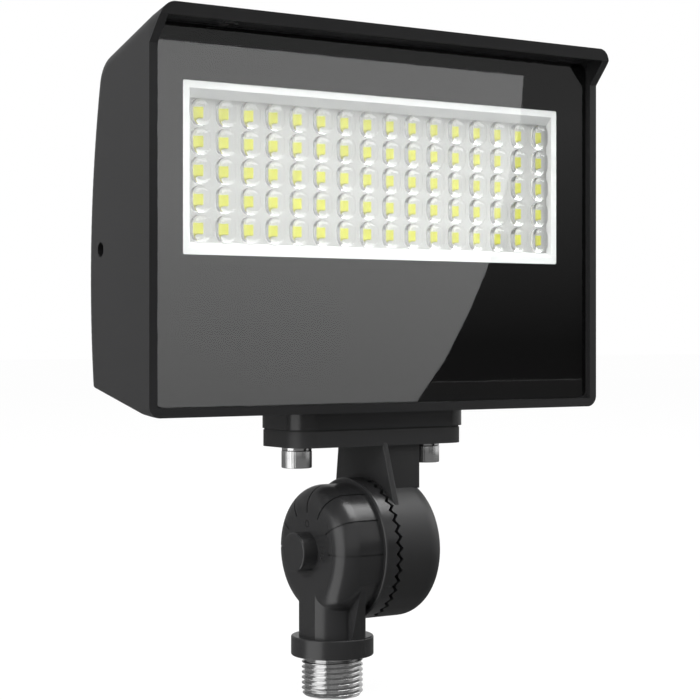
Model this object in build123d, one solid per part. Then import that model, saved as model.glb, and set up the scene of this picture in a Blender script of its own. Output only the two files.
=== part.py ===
from build123d import *
import math
import os

# Frame: origin at the centre of the threaded nipple's lower end, +Z up, the light faces -Y
# Lengths are in millimetres, angles in degrees

# Head housing, a die-cast tapered box with a short hood
head_x = 12.6  # centre of the head along X, to the right of the nipple
head_width = 187.4
head_bottom = 98.8
head_top = 230.6
rim_y = -17.5  # plane of the front rim
hood_y = -25.6  # front edge of the hood
hood_lip = 4.0  # height of the hood's front edge
cheek_height = 8.4  # how far the slanted cheek comes down the rim
wall = 3.0
back_y = 35.5  # furthest point of the curved back
back_mid_z = 144.0
back_radius = 262.0
top_slope = 0.25  # fall of the roof per unit of depth
bottom_slope = 0.185  # rise of the underside per unit of depth
side_taper = 0.075  # how far each side comes in per unit of depth
back_top_round = 12.0
back_low_round = 9.0
side_edge_radius = 5.2  # along the roof and the back
floor_edge_radius = 0.8
rim_corner = 4.0  # lower corners of the front rim

# Front glass, its black printed border and its silicone seal
glass_setback = 2.2
glass_thickness = 4.0
glass_gap = 0.3
glass_corner = 3.0
print_thickness = 0.2
seal_thickness = 1.0
seal_width = 4.2
ledge_thickness = 3.0
window_x = 12.25
window_width = 157.2
window_height = 56.6
window_z = 179.8

# Optics: lens plate, diodes and their board
columns = 16
rows = 5
diode_pitch_x = 9.53
diode_pitch_z = 9.5
array_x = 13.0
array_z = 179.25
diode_size = 3.0
diode_height = 0.6
diode_gap = 0.3  # between the diodes and the lens plate
lens_plate = 1.0
lens_width = 5.6
lens_height = 6.8
lens_depth = 2.4
lens_skirt = 1.6
lens_front_gap = 0.2  # between the lens tops and the glass print

# White frame round the lenses
frame_strip = 2.4
frame_flange = 6.0
frame_thickness = 1.4
frame_throat_width = 150.3
frame_throat_height = 47.1

# Diode board, thermal pad and heat spreader
board_thickness = 1.6
board_margin = 1.4
board_tail = 9.0  # lower strip that carries the connector
pad_thickness = 0.3
spreader_thickness = 3.0
spreader_margin = 10.8
column_radius = 4.6
column_rise = 22.0  # lower columns, above the spreader's lower edge
spreader_screw_radius = 2.0
board_screw_radius = 1.5
screw_depth = 8.0

# Driver
driver_width = 112.0
driver_height = 28.0
driver_depth = 24.0
driver_bottom = 110.5
driver_back = 21.5
driver_wall = 1.5
driver_ear = 9.0
terminal_width = 17.0
lead_radius = 0.9
lead_pitch = 4.0

# Tapped accessory holes in the sides, M6
side_hole_radius = 2.5
side_hole_depth = 8.0
side_hole_y = 23.0
side_hole_z = 154.0
side_boss_radius = 6.0
side_boss_wall = 2.5

# Knuckle plate and its bolts, M6
plate_x = 12.9  # centre of the plate along X
plate_length = 72.2
plate_depth = 27.8
plate_corner = 8.0
plate_bottom = 87.0
plate_thickness = 5.6
foot_overhang = 0.4  # of the housing's foot, all round
foot_shift = 0.3
gasket_thickness = 0.6
gasket_inset = 0.3
bolt_spacing = 54.6
bolt_radius = 3.0
bolt_clearance = 0.3
bolt_head_radius = 5.25
bolt_head_height = 6.2
bolt_socket_flat = 5.0
bolt_engagement = 9.0
lock_washer_thickness = 1.2

# Toothed tilt joint, its axis along X
pivot_z = 50.6
flange_radius = 24.8
teeth = 40
tooth_height = 1.5
tooth_clearance = 0.1  # between facing crests, so that the halves pass at any angle
tooth_plane = 11.4  # X of the middle between the two toothed faces
tooth_inner_radius = 19.6
groove_share = 0.94  # part of the pitch that the groove takes up
disc_end = 32.1
disc_round = 7.5
pocket_radius = 15.0
disc_pocket_depth = 6.0
hub_floor = 4.5  # thickness of the hub's end wall
pivot_radius = 4.0
pivot_clearance = 0.06
pivot_head_radius = 6.5
pivot_head_height = 8.0
pivot_socket_flat = 6.0
pivot_head_gap = 0.4
pivot_washer_thickness = 1.6
pivot_washer_gap = 0.05
pivot_boss_radius = 8.0
counterbore_gap = 0.5
oring_radius = 17.5
oring_cord = 2.8

# Arm between the plate and the toothed disc: a block with a flared web on its left
arm_right = 28.35
arm_half = 12.6
web_left_top = 11.7
web_left_bottom = 13.3
web_thickness = 2.2
web_half_top = 13.9
web_half_bottom = 19.0
web_bottom = 66.0
web_round = 0.6
arm_gap = 0.7  # over the hub's flange
wire_radius = 3.2

# Lower hub
hub_radius = 22.8
hub_end = -10.5
hub_shoulder = 8.0
flange_start = 5.8
end_boss_radius = 6.8
end_boss_height = 5.7
mark_step = 30
mark_width = 0.5
mark_depth = 0.4
neck_radius = 11.65
neck_top = 41.0
rib_left = -1.0
rib_right_bottom = 4.4
rib_right_top = 0.8
rib_half_bottom = 13.6
rib_half_top = 19.5
rib_top = 39.3
collar_radius = 14.4
collar_bottom = 14.1
collar_top = 20.9
collar_round = 0.6
channel_half_x = 7.0
channel_half_y = 3.8

# Threaded nipple, half-inch pipe thread, 14 turns per inch
nipple_radius = 10.65
thread_pitch = 25.4 / 14
thread_depth = 1.25
thread_crest = 0.35
nipple_bore = 7.6
spigot_radius = 10.0
spigot_length = 5.6
nipple_chamfer = 1.2
grub_radius = 2.0
grub_length = 3.6

os.makedirs("parts", exist_ok=True)


def box_between(low, high):
    """A block from its low corner to its high corner."""
    size = [high[i] - low[i] for i in range(3)]
    middle = [(high[i] + low[i]) / 2 for i in range(3)]
    return Pos(*middle) * Box(*size)


def rod(start, length, radius, direction):
    """A round bar from a start point along X, Y or Z."""
    plane = Plane(origin=start, z_dir=direction)
    return extrude(plane * Circle(radius), length)


def save(shape, name):
    """Write one named piece."""
    shape.label = name
    export_step(shape, f"parts/{name}.step")


# Places worked out from the sizes above
head_left = head_x - head_width / 2
head_right = head_x + head_width / 2
glass_front = rim_y + glass_setback
glass_back = glass_front + glass_thickness
print_back = glass_back + print_thickness
ledge_y = print_back + seal_thickness
ceiling = head_top - hood_lip - 0.2
lens_top_y = print_back + lens_front_gap
lens_front = lens_top_y + lens_depth
lens_back = lens_front + lens_plate
diode_front = lens_back + diode_gap
board_front = diode_front + diode_height
board_back = board_front + board_thickness
pad_back = board_back + pad_thickness
spreader_back = pad_back + spreader_thickness
plate_top = plate_bottom + plate_thickness
boss_bottom = plate_top + gasket_thickness
tooth_gap = tooth_height + tooth_clearance
hub_crest = tooth_plane - tooth_clearance / 2
hub_root = hub_crest - tooth_height
disc_crest = tooth_plane + tooth_clearance / 2
disc_root = disc_crest + tooth_height
array_width = columns * diode_pitch_x
array_height = rows * diode_pitch_z


def roof_z(y, inset=0.0):
    """Height of the sloping roof at a depth."""
    return head_top - top_slope * (y - hood_y) - inset


def floor_z(y, inset=0.0):
    """Height of the sloping underside at a depth."""
    return head_bottom + bottom_slope * (y - rim_y) + inset


def back_at(z, inset=0.0):
    """Depth of the curved back at a height."""
    return back_y - (z - back_mid_z) ** 2 / (2 * back_radius) - inset


def back_corner(edge_z, inset, start_z):
    """Where the curved back meets the roof or the underside, in the YZ plane."""
    z = start_z
    for _ in range(20):
        z = edge_z(back_at(z, inset), inset)
    return back_at(z, inset), z


def depth_profile(inset, front, hooded, low_round):
    """Side outline of the head in the YZ plane, drawn smaller by the inset."""
    top = back_corner(roof_z, inset, head_top)
    low = back_corner(floor_z, inset, head_bottom)
    middle = (back_at(back_mid_z, inset), back_mid_z)
    start = rim_y if hooded else front
    lower = Line((start, floor_z(start, inset)), low)
    arc = ThreePointArc(low, middle, top)
    roof = [top]
    if hooded:
        cheek_top = head_top - hood_lip
        roof += [(hood_y, roof_z(hood_y)), (hood_y + 0.8, cheek_top), (rim_y, cheek_top - cheek_height)]
    else:
        roof += [(front, roof_z(front, inset))]
    roof.append((start, floor_z(start, inset)))
    face = make_face(lower + arc + Polyline(*roof))
    face = fillet(corner_of(face, top), back_top_round - inset)
    if low_round > inset:
        face = fillet(corner_of(face, low), low_round - inset)
    return Plane.YZ * face


def corner_of(face, place):
    """The corner of a flat outline nearest to a place."""
    return face.vertices().sort_by_distance(Vector(*place, 0))[0]


def width_prism(inset):
    """Tapered outline of the head seen from above, as a tall prism."""
    near = hood_y - 5
    far = back_y + 10
    come_in = side_taper * (far - rim_y)
    left, right = head_left + inset, head_right - inset
    points = [(left, near), (left, rim_y), (left + come_in, far), (right - come_in, far)]
    points += [(right, rim_y), (right, near)]
    return extrude(make_face(Polyline(*points, close=True)), head_top + 20)


def head_solid(inset, front, hooded, low_round=back_low_round):
    """The head's tapered block, whole or as the hollow inside it."""
    block = extrude(depth_profile(inset, front, hooded, low_round), head_width, both=True)
    return Pos(head_x, 0, 0) * block & width_prism(inset)


def side_x(y):
    """Half width of the head at a depth behind the rim."""
    return head_width / 2 - side_taper * (y - rim_y)


def rounded_slab(x, z, width, height, corner, y_front, y_back):
    """A plate standing in the XZ plane with rounded corners."""
    plane = Plane(origin=(x, y_front, z), x_dir=(1, 0, 0), z_dir=(0, 1, 0))
    return extrude(plane * RectangleRounded(width, height, corner), y_back - y_front)


# Glass pocket and window
glass_width = head_width - 2 * wall - 2 * glass_gap
glass_low = head_bottom + wall + glass_gap
glass_high = ceiling - 0.5
glass_z = (glass_low + glass_high) / 2
glass_height = glass_high - glass_low

# Columns that the heat spreader is screwed to
spreader_width = array_width + 2 * spreader_margin
spreader_low = array_z - array_height / 2 - board_margin - board_tail
spreader_high = array_z + array_height / 2 + spreader_margin
column_spots = [
    (head_x + side * (spreader_width / 2 - column_radius), z)
    for side in (-1, 1)
    for z in (spreader_low + column_rise, spreader_high - column_radius)
]

# Driver fixing posts
driver_middle_z = driver_bottom + driver_height / 2
driver_posts = [head_x + side * (driver_width / 2 + driver_ear / 2) for side in (-1, 1)]

bolt_spots = [head_x + side * bolt_spacing / 2 for side in (-1, 1)]
wire_x = (web_left_bottom + disc_end - disc_round) / 2


def side_edges(body, lower):
    """Edges between a side of the head and its underside, or its roof and back."""
    found = []
    for edge in body.edges():
        middle = edge.center()
        on_side = abs(abs(middle.X - head_x) - side_x(middle.Y)) < 1.5 and middle.Y > rim_y + 1
        on_floor = middle.Z < floor_z(middle.Y) + 0.5
        if on_side and on_floor == lower:
            found.append(edge)
    return found


def build_housing():
    """Die-cast housing with its hood, columns, side bosses and foot."""
    body = head_solid(0, rim_y, True, 0)
    body = fillet(side_edges(body, False), side_edge_radius)
    body = fillet(side_edges(body, True), floor_edge_radius)
    body &= extrude(depth_profile(0, rim_y, True, back_low_round), 2 * head_width, both=True)
    body &= rounded_slab(
        head_x, head_bottom + head_width, head_width, 2 * head_width, rim_corner, hood_y - 1, back_y + 1
    )

    # Foot that the knuckle plate bolts to
    foot_length = plate_length + 2 * foot_overhang
    foot_depth = plate_depth + 2 * foot_overhang
    foot = Plane.XY.offset(boss_bottom) * Pos(plate_x + foot_shift, 0) * RectangleRounded(
        foot_length, foot_depth, plate_corner
    )
    body += extrude(foot, head_bottom + 8 - boss_bottom)

    # Hood underside and the pocket for glass and seal
    mouth = box_between(
        (head_left + wall, hood_y - 5, head_bottom + wall),
        (head_right - wall, glass_front, ceiling),
    )
    pocket = rounded_slab(
        head_x, glass_z, glass_width + 2 * glass_gap, glass_height + 2 * glass_gap,
        glass_corner, glass_front - 0.01, ledge_y,
    )
    hollow = head_solid(wall + 0.4, ledge_y + ledge_thickness, False)
    hollow += box_between(
        (head_left + wall + seal_width, ledge_y - 1, head_bottom + wall + seal_width),
        (head_right - wall - seal_width, ledge_y + ledge_thickness + 1, glass_high - seal_width),
    )
    body -= mouth + pocket
    body -= hollow

    # Columns from the back wall, cut to the curved outside
    posts = []
    for x, z in column_spots:
        posts.append(rod((x, spreader_back, z), back_y - spreader_back, column_radius, (0, 1, 0)))
    for x in driver_posts:
        post_length = back_y - driver_back
        posts.append(rod((x, driver_back, driver_middle_z), post_length, driver_ear / 2, (0, 1, 0)))
    for side in (-1, 1):
        length = side_hole_depth + side_boss_wall
        start = (head_x + side * (side_x(side_hole_y) - length), side_hole_y, side_hole_z)
        posts.append(rod(start, length, side_boss_radius, (side, 0, 0)))
    inside = head_solid(wall / 2, ledge_y, False)
    for post in posts:
        body += post & inside

    # Screw holes
    for x, z in column_spots:
        body -= rod((x, spreader_back, z), screw_depth, spreader_screw_radius, (0, 1, 0))
    for x in driver_posts:
        body -= rod((x, driver_back, driver_middle_z), 6, board_screw_radius, (0, 1, 0))
    for x in bolt_spots:
        body -= rod((x, 0, boss_bottom), bolt_engagement + 1, bolt_radius, (0, 0, 1))
    body -= rod((wire_x, 0, boss_bottom), 20, wire_radius, (0, 0, 1))
    for side in (-1, 1):
        start = (head_x + side * (side_x(side_hole_y) - side_hole_depth), side_hole_y, side_hole_z)
        body -= rod(start, side_hole_depth + 5, side_hole_radius, (side, 0, 0))
    return body


def build_glass():
    """Toughened front glass."""
    return rounded_slab(
        head_x, glass_z, glass_width, glass_height, glass_corner, glass_front, glass_back
    )


def build_glass_print():
    """Black ceramic border printed on the back of the glass."""
    sheet = rounded_slab(
        head_x, glass_z, glass_width, glass_height, glass_corner, glass_back, print_back
    )
    hole = rounded_slab(
        window_x, window_z, window_width, window_height, 0.6, glass_back - 1, print_back + 1
    )
    return sheet - hole


def build_seal():
    """Silicone seal between glass and ledge."""
    width = glass_width - 2 * glass_gap
    height = glass_height - 2 * glass_gap
    ring = rounded_slab(head_x, glass_z, width, height, glass_corner, print_back, ledge_y)
    inner = rounded_slab(
        head_x, glass_z, width - 2 * seal_width, height - 2 * seal_width,
        glass_corner, print_back - 1, ledge_y + 1,
    )
    return ring - inner


def build_window_frame():
    """White frame with a bevelled inside, round the lens plate."""
    outer_width = window_width + 2 * frame_flange
    outer_height = window_height + 2 * frame_flange
    opening_width = window_width - 2 * frame_strip
    opening_height = window_height - 2 * frame_strip
    flange = rounded_slab(
        window_x, window_z, outer_width, outer_height, 3, print_back, print_back + frame_thickness
    )
    trough = rounded_slab(
        window_x, window_z, opening_width + 3, opening_height + 3, 1.5, print_back, lens_front
    )
    plane = Plane(origin=(window_x, print_back - 0.01, window_z), x_dir=(1, 0, 0), z_dir=(0, 1, 0))
    mouth = plane * Rectangle(opening_width, opening_height)
    throat_plane = plane.offset(lens_front - print_back + 0.02)
    shift = Pos(array_x - window_x, window_z - array_z)
    throat = throat_plane * shift * Rectangle(frame_throat_width, frame_throat_height)
    return flange + trough - loft([mouth, throat])


def diode_spots():
    """Centres of the diodes, row by row."""
    for j in range(rows):
        for i in range(columns):
            x = array_x + (i - (columns - 1) / 2) * diode_pitch_x
            z = array_z + ((rows - 1) / 2 - j) * diode_pitch_z
            yield x, z


def build_lens_array():
    """Clear moulded lens plate with one dome for each diode."""
    low_x, high_x = array_x - array_width / 2, array_x + array_width / 2
    low_z, high_z = array_z - array_height / 2, array_z + array_height / 2
    plate = box_between((low_x, lens_front, low_z), (high_x, lens_back, high_z))
    skirt = box_between((low_x, lens_back, low_z), (high_x, board_front, high_z))
    skirt -= box_between(
        (low_x + lens_skirt, lens_back - 1, low_z + lens_skirt),
        (high_x - lens_skirt, board_front + 1, high_z - lens_skirt),
    )
    half_x, half_z = lens_width / 2, lens_height / 2
    domes = [
        box_between((x - half_x, lens_top_y, z - half_z), (x + half_x, lens_front, z + half_z))
        for x, z in diode_spots()
    ]
    return (plate + skirt).fuse(*domes)


def build_diodes():
    """Light-emitting diodes, each its own solid."""
    half = diode_size / 2
    return Compound(children=[
        box_between((x - half, diode_front, z - half), (x + half, board_front, z + half))
        for x, z in diode_spots()
    ])


board_width = array_width + 2 * board_margin
board_low = array_z - array_height / 2 - board_margin - board_tail
board_high = array_z + array_height / 2 + board_margin
board_screw_spots = [
    (array_x + i * (board_width / 2 - 4), board_low + 4) for i in (-1, 0.55, -0.55, 1)
]


def build_board():
    """Metal-core board under the diodes."""
    board = box_between(
        (array_x - board_width / 2, board_front, board_low),
        (array_x + board_width / 2, board_back, board_high),
    )
    for x, z in board_screw_spots:
        board -= rod((x, board_front - 1, z), board_thickness + 2, board_screw_radius, (0, 1, 0))
    return board


def build_pad():
    """Thermal pad between board and spreader."""
    pad = box_between(
        (array_x - board_width / 2 + 1, board_back, board_low + 8),
        (array_x + board_width / 2 - 1, pad_back, board_high - 1),
    )
    return pad


def build_spreader():
    """Aluminium heat spreader screwed to four columns."""
    plate = box_between(
        (head_x - spreader_width / 2, pad_back, spreader_low),
        (head_x + spreader_width / 2, spreader_back, spreader_high),
    )
    for x, z in column_spots:
        plate -= rod((x, pad_back - 1, z), spreader_thickness + 2, spreader_screw_radius, (0, 1, 0))
    for x, z in board_screw_spots:
        plate -= rod((x, pad_back - 1, z), spreader_thickness + 2, board_screw_radius, (0, 1, 0))
    return plate


def pan_screw(x, z, head_front, seat, tip, radius):
    """Small domed screw along Y, from its head to its tip."""
    head = rod((x, head_front, z), seat - head_front, radius * 1.9, (0, 1, 0))
    head = fillet(head.faces().sort_by(Axis.Y)[0].edges(), (seat - head_front) * 0.45)
    slot = box_between((x - radius, head_front - 1, z - 0.3), (x + radius, head_front + 0.5, z + 0.3))
    cross = box_between((x - 0.3, head_front - 1, z - radius), (x + 0.3, head_front + 0.5, z + radius))
    return head - slot - cross + rod((x, seat, z), tip - seat, radius, (0, 1, 0))


def build_spreader_screws():
    """Four screws that hold the spreader."""
    return Compound(children=[
        pan_screw(x, z, pad_back - 2.4, pad_back, spreader_back + screw_depth - 1, spreader_screw_radius)
        for x, z in column_spots
    ])


def build_board_screws():
    """Screws that hold the board to the spreader."""
    return Compound(children=[
        pan_screw(x, z, board_front - 1.8, board_front, spreader_back, board_screw_radius)
        for x, z in board_screw_spots
    ])


# Driver, in the space under the optics
driver_left = head_x - driver_width / 2
driver_right = head_x + driver_width / 2
driver_front = driver_back - driver_depth
driver_top = driver_bottom + driver_height


def build_driver_case():
    """Driver tray with an ear at each end."""
    tray = box_between(
        (driver_left, driver_front + driver_wall, driver_bottom),
        (driver_right, driver_back, driver_top),
    )
    tray -= box_between(
        (driver_left + driver_wall, driver_front - 1, driver_bottom + driver_wall),
        (driver_right - driver_wall, driver_back - driver_wall, driver_top - driver_wall),
    )
    for x in driver_posts:
        half = driver_ear / 2
        ear = box_between(
            (x - half, driver_back - driver_wall, driver_middle_z - half),
            (x + half, driver_back, driver_middle_z + half),
        )
        ear -= rod((x, driver_back - 5, driver_middle_z), 10, board_screw_radius, (0, 1, 0))
        tray += ear
    return tray


def build_driver_cover():
    """Flat lid of the driver."""
    return box_between(
        (driver_left, driver_front, driver_bottom),
        (driver_right, driver_front + driver_wall, driver_top),
    )


def build_driver_board():
    """Circuit board that lies on the driver tray's back."""
    gap = 0.3
    return box_between(
        (driver_left + driver_wall + gap, driver_back - driver_wall - 1.6, driver_bottom + driver_wall + gap),
        (driver_right - driver_wall - gap, driver_back - driver_wall, driver_top - driver_wall - gap),
    )


component_seat = driver_back - driver_wall - 1.6


def build_transformer():
    """Transformer: a core with its winding."""
    x = head_x - 12
    core = box_between(
        (x - 11, component_seat - 14, driver_middle_z - 9), (x + 11, component_seat, driver_middle_z + 9)
    )
    core = fillet(core.edges().filter_by(Axis.Y), 1.5)
    return core


def build_capacitors():
    """Three round capacitors."""
    cans = []
    for k, radius in enumerate((6.0, 5.0, 5.0)):
        x = head_x + 14 + 14 * k
        can = rod((x, component_seat - 16, driver_middle_z), 16, radius, (0, 1, 0))
        cans.append(fillet(can.faces().sort_by(Axis.Y)[0].edges(), 0.8))
    return Compound(children=cans)


def build_driver_screws():
    """Two screws through the driver's ears."""
    seat = driver_back - driver_wall
    return Compound(children=[
        pan_screw(x, driver_middle_z, seat - 2, seat, driver_back + 5, board_screw_radius)
        for x in driver_posts
    ])


def build_terminal_block():
    """Three-way connector on the driver's left end."""
    top = driver_bottom + 18
    block = box_between(
        (driver_left - terminal_width, driver_front + 4, driver_bottom + 1),
        (driver_left, driver_front + 16, driver_bottom + 9),
    )
    for k in range(3):
        x = driver_left - terminal_width + 3.5 + 5 * k
        block -= box_between((x - 1.3, driver_front + 3, driver_bottom + 3), (x + 1.3, driver_front + 8, driver_bottom + 7))
    return block


connector_z = board_low + 1


def build_board_connector():
    """Two-way connector on the board's lower strip."""
    return box_between(
        (head_x - lead_pitch, board_front - 2.6, connector_z),
        (head_x + lead_pitch, board_front, connector_z + 5),
    )


def build_leads():
    """Two insulated leads from the driver up to the diode board."""
    leads = []
    y_up = board_front - 1.3
    y_down = driver_front + 5
    turn_z = (connector_z + driver_top) / 2
    for side in (-1, 1):
        x = head_x + side * lead_pitch / 2
        path = FilletPolyline(
            (x, y_up, connector_z), (x, y_up, turn_z), (x, y_down, turn_z), (x, y_down, driver_top),
            radius=1.6,
        )
        leads.append(sweep(Plane(origin=(x, y_up, connector_z), z_dir=(0, 0, -1)) * Circle(lead_radius), path))
    return Compound(children=leads)


def build_gasket():
    """Rubber gasket between foot and knuckle plate."""
    sketch = Pos(plate_x, 0) * RectangleRounded(
        plate_length - 2 * gasket_inset, plate_depth - 2 * gasket_inset, plate_corner - gasket_inset
    )
    sheet = extrude(Plane.XY.offset(plate_top) * sketch, gasket_thickness)
    for x in bolt_spots:
        sheet -= rod((x, 0, plate_top - 1), 4, bolt_radius + bolt_clearance, (0, 0, 1))
    return sheet - rod((wire_x, 0, plate_top - 1), 4, wire_radius, (0, 0, 1))


def tooth_ring(root, height, phase):
    """Ring of teeth on a face at X=root, standing out by the signed height."""
    crest = root + height
    ring = rod((root, 0, pivot_z), height, flange_radius, (1, 0, 0))
    ring -= rod((root - 5, 0, pivot_z), 10, tooth_inner_radius, (1, 0, 0))
    grooves = []
    for k in range(teeth):
        turn = Pos(0, 0, pivot_z) * Rot(360 * (k + phase) / teeth, 0, 0)
        grooves.append(turn * groove_cutter(crest, height))
    return ring.cut(*grooves)


def groove_cutter(crest, height):
    """Groove between two teeth; it gets shallower towards the pivot axis."""
    sections = []
    for radius in (tooth_inner_radius - 1, flange_radius + 1):
        half = radius * math.tan(math.radians(180 / teeth * groove_share))
        depth = height * radius / flange_radius
        plane = Plane(origin=(crest, 0, radius), x_dir=(0, 1, 0), z_dir=(0, 0, 1))
        # On this plane, local Y points along -X or +X of the object
        side = plane.y_dir.X
        lift = 0.4 * half / abs(depth) * 0.25
        out = math.copysign(0.25, height)
        points = [(-half - lift, out * side), (half + lift, out * side), (0, -depth * side)]
        sections.append(plane * make_face(Polyline(*points, close=True)))
    return loft(sections)


def build_arm():
    """Knuckle plate, arm and toothed disc, one casting."""
    sketch = Pos(plate_x, 0) * RectangleRounded(plate_length, plate_depth, plate_corner)
    plate = extrude(Plane.XY.offset(plate_bottom) * sketch, plate_thickness)
    web = loft([
        Plane.XY.offset(height) * Pos(left + web_thickness / 2, 0) * Rectangle(web_thickness, 2 * half)
        for left, half, height in (
            (web_left_bottom, web_half_bottom, web_bottom),
            (web_left_top, web_half_top, plate_bottom + 1),
        )
    ])
    upright = web.edges().filter_by(lambda e: e.length > 15 and abs(e.tangent_at(0.5).Z) > 0.8)
    web = fillet(upright, web_round)
    arm = web + box_between(
        (web_left_bottom + web_thickness / 2, -arm_half, pivot_z),
        (arm_right, arm_half, plate_bottom + 1),
    )
    disc = rod((disc_root, 0, pivot_z), disc_end - disc_root, flange_radius, (1, 0, 0))
    disc = fillet(disc.faces().sort_by(Axis.X)[-1].edges(), disc_round)
    arm &= box_between((0, -plate_depth, pivot_z), (disc_end - disc_round, plate_depth, head_top)) + box_between(
        (0, -plate_depth, pivot_z + flange_radius - disc_round / 2), (disc_end, plate_depth, head_top)
    )
    body = plate + arm + disc
    body -= rod((0, 0, pivot_z), disc_root, flange_radius + arm_gap, (1, 0, 0))
    body += tooth_ring(disc_root, -tooth_height, 0.5)
    body -= rod((disc_root - 5, 0, pivot_z), 5, tooth_inner_radius, (1, 0, 0))

    # Wire space round the pivot boss, and up through the arm
    pocket = rod((disc_root - 1, 0, pivot_z), disc_pocket_depth + 1, pocket_radius, (1, 0, 0))
    pocket -= rod((disc_root - 1, 0, pivot_z), disc_pocket_depth + 1, pivot_boss_radius, (1, 0, 0))
    body -= pocket
    wire_start = pivot_z + pivot_boss_radius + 1
    body -= rod((wire_x, 0, wire_start), plate_top + 1 - wire_start, wire_radius, (0, 0, 1))

    # Pivot hole with its counterbore, and the two bolt holes
    seat = disc_end - pivot_head_height - pivot_washer_thickness - pivot_head_gap
    pivot_length = disc_end + 2 - disc_root
    body -= rod((disc_root - 1, 0, pivot_z), pivot_length, pivot_radius + pivot_clearance, (1, 0, 0))
    body -= rod((seat, 0, pivot_z), disc_end + 1 - seat, pivot_head_radius + counterbore_gap, (1, 0, 0))
    for x in bolt_spots:
        body -= rod((x, 0, plate_bottom - 1), plate_thickness + 2, bolt_radius + bolt_clearance, (0, 0, 1))
    return body


def socket_screw(start, direction, head_radius, head_height, shank_radius, shank_length, flat):
    """Socket-head screw: its head begins at the start point and the shank follows."""
    plane = Plane(origin=start, z_dir=direction)
    head = extrude(plane * Circle(head_radius), head_height)
    head = chamfer(head.faces().sort_by(Axis(start, direction))[0].edges(), 0.4)
    socket = extrude(plane * RegularPolygon(flat / 2, 6, major_radius=False), head_height * 0.5)
    shank = extrude(plane.offset(head_height) * Circle(shank_radius), shank_length)
    return head - socket + shank


def build_mounting_bolts():
    """Two bolts that hold the head on the knuckle plate."""
    start_z = plate_bottom - lock_washer_thickness - bolt_head_height
    length = lock_washer_thickness + plate_thickness + gasket_thickness + bolt_engagement
    return Compound(children=[
        socket_screw((x, 0, start_z), (0, 0, 1), bolt_head_radius, bolt_head_height,
                     bolt_radius, length, bolt_socket_flat)
        for x in bolt_spots
    ])


def build_lock_washers():
    """Split lock washers under the bolt heads."""
    washers = []
    for x in bolt_spots:
        base = plate_bottom - lock_washer_thickness
        ring = rod((x, 0, base), lock_washer_thickness, bolt_head_radius - 0.1, (0, 0, 1))
        ring -= rod((x, 0, base - 1), 5, bolt_radius + 0.1, (0, 0, 1))
        cut = Pos(x, -4, base) * Rot(0, 30, 0) * Box(0.7, 5, 8)
        washers.append(ring - cut)
    return Compound(children=washers)


def build_hub():
    """Lower half of the knuckle: dome, toothed flange, neck and collar."""
    dome = rod((hub_end, 0, pivot_z), flange_start + 1 - hub_end, hub_radius, (1, 0, 0))
    dome = fillet(dome.faces().sort_by(Axis.X)[0].edges(), hub_shoulder)
    flange = rod((flange_start, 0, pivot_z), hub_root - flange_start, flange_radius, (1, 0, 0))
    flange = fillet(flange.faces().sort_by(Axis.X)[0].edges(), 0.8)
    neck = rod((0, 0, collar_bottom + 1), neck_top - collar_bottom - 1, neck_radius, (0, 0, 1))
    neck &= box_between((hub_end, -neck_radius, 0), (neck_radius, neck_radius, neck_top))
    collar = rod((0, 0, collar_bottom), collar_top - collar_bottom, collar_radius, (0, 0, 1))
    collar = fillet(collar.edges().filter_by(GeomType.CIRCLE), collar_round)
    end_boss = rod((hub_end - end_boss_height, 0, pivot_z), end_boss_height + 1, end_boss_radius, (1, 0, 0))
    end_boss = fillet(end_boss.faces().sort_by(Axis.X)[0].edges(), 0.6)

    # Ribs that widen the neck towards the dome, front and back
    rib = loft([
        Plane.XY.offset(height) * Pos((rib_left + right) / 2, 0) * Rectangle(right - rib_left, 2 * half)
        for height, right, half in (
            (collar_top - 1, rib_right_bottom, rib_half_bottom),
            (rib_top, rib_right_top, rib_half_top),
        )
    ])

    body = dome + flange + neck + rib + collar + end_boss
    body -= rod((hub_root, 0, pivot_z), neck_radius, flange_radius + arm_gap, (1, 0, 0))
    body += tooth_ring(hub_root, tooth_height, 0)
    body -= rod((hub_root, 0, pivot_z), 5, tooth_inner_radius, (1, 0, 0))

    # Wire space round the pivot boss, and the channel down the neck
    hollow_start = hub_end + hub_floor
    hollow = rod((hollow_start, 0, pivot_z), hub_root + 5 - hollow_start, pocket_radius, (1, 0, 0))
    hollow -= rod((hollow_start, 0, pivot_z), hub_root - hollow_start, pivot_boss_radius, (1, 0, 0))
    body -= hollow
    lip = rod((hub_root, 0, pivot_z), tooth_gap, pocket_radius + 1, (1, 0, 0))
    lip -= rod((hub_root - 1, 0, pivot_z), 9, pocket_radius, (1, 0, 0))
    body += lip
    channel = RectangleRounded(2 * channel_half_x, 2 * channel_half_y, channel_half_y - 0.1)
    body -= extrude(Plane.XY.offset(collar_bottom) * channel, pivot_z - pocket_radius + 2 - collar_bottom)

    # Socket for the nipple, its grub screw and the pivot bolt's thread
    body -= rod((0, 0, collar_bottom - 1), spigot_length + 1, spigot_radius, (0, 0, 1))
    grub_z = collar_bottom + spigot_length / 2
    body -= rod((0, spigot_radius - 1, grub_z), 9, grub_radius, (0, 1, 0))
    bolt_end = hub_end - end_boss_height + 2.5
    body -= rod((bolt_end, 0, pivot_z), 40, pivot_radius, (1, 0, 0))
    return body


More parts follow.
